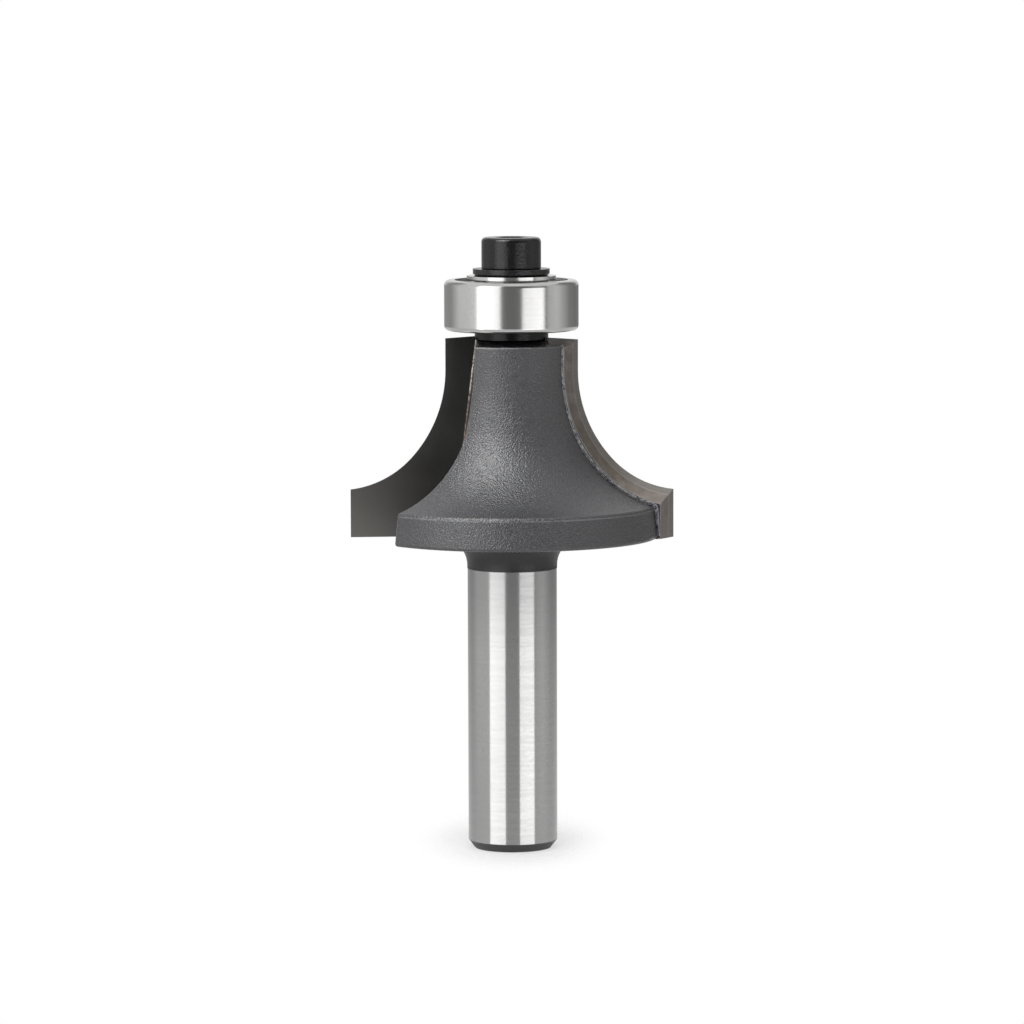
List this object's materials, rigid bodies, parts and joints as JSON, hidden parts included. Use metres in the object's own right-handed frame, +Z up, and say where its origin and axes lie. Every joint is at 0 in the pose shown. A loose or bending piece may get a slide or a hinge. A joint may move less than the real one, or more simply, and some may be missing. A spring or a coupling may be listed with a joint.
{
  "type": "router bit",
  "caption": "Rounding-over router bit with straight brazed carbide cutting edges, a flared steel body, a plain round shank and a ball-bearing guide screwed to its nose.",
  "frame": {"origin": "centre of the flat end of the shank, which the bit stands on", "axes": "+Z up the axis from the shank end to the screw head, +X out along the right-hand wing, +Y away from the picture's viewer"},
  "size_m": [0.0458, 0.0416, 0.0872],
  "materials": {
    "cutter_body": "dark grey blasted coat on the head, bright ground shank",
    "carbide": "fine-ground tungsten carbide",
    "braze": "dull braze with a heat tint",
    "spacer": "black oxide, satin",
    "inner_ring": "ground bearing steel",
    "outer_ring": "bright ground bearing steel",
    "shield": "pressed sheet steel, satin",
    "cage": "pressed sheet steel",
    "ball": "polished bearing steel",
    "shim_ring": "bright turned steel",
    "washer": "black oxide, satin",
    "screw": "black oxide, satin"
  },
  "bodies": {
    "cutter": {"cutter_body": "cutter_body", "carbide_tip_right": "carbide", "carbide_tip_left": "carbide", "braze_joint_right": "braze", "braze_joint_left": "braze", "bearing_spacer": "spacer", "bearing_inner_ring": "inner_ring", "shim_ring": "shim_ring", "screw_washer": "washer", "cap_screw": "screw"},
    "bearing_outer": {"bearing_outer_ring": "outer_ring", "bearing_shield_upper": "shield", "bearing_shield_lower": "shield"},
    "ball_set": {"bearing_ball_1": "ball", "bearing_ball_2": "ball", "bearing_ball_3": "ball", "bearing_ball_4": "ball", "bearing_ball_5": "ball", "bearing_ball_6": "ball", "bearing_ball_7": "ball", "bearing_ball_8": "ball", "bearing_cage_upper": "cage", "bearing_cage_lower": "cage"}
  },
  "joints": [
    {"name": "outer_ring_spin", "type": "hinge", "parent": "cutter", "child": "bearing_outer", "pos_m": [0, 0, 0.07757], "axis": [0, 0, 1], "continuous": true},
    {"name": "cage_spin", "type": "hinge", "parent": "cutter", "child": "ball_set", "pos_m": [0, 0, 0.07757], "axis": [0, 0, 1], "continuous": true}
  ],
  "couplings": [
    {"joint": "cage_spin", "follows": "outer_ring_spin", "ratio": 0.625}
  ]
}
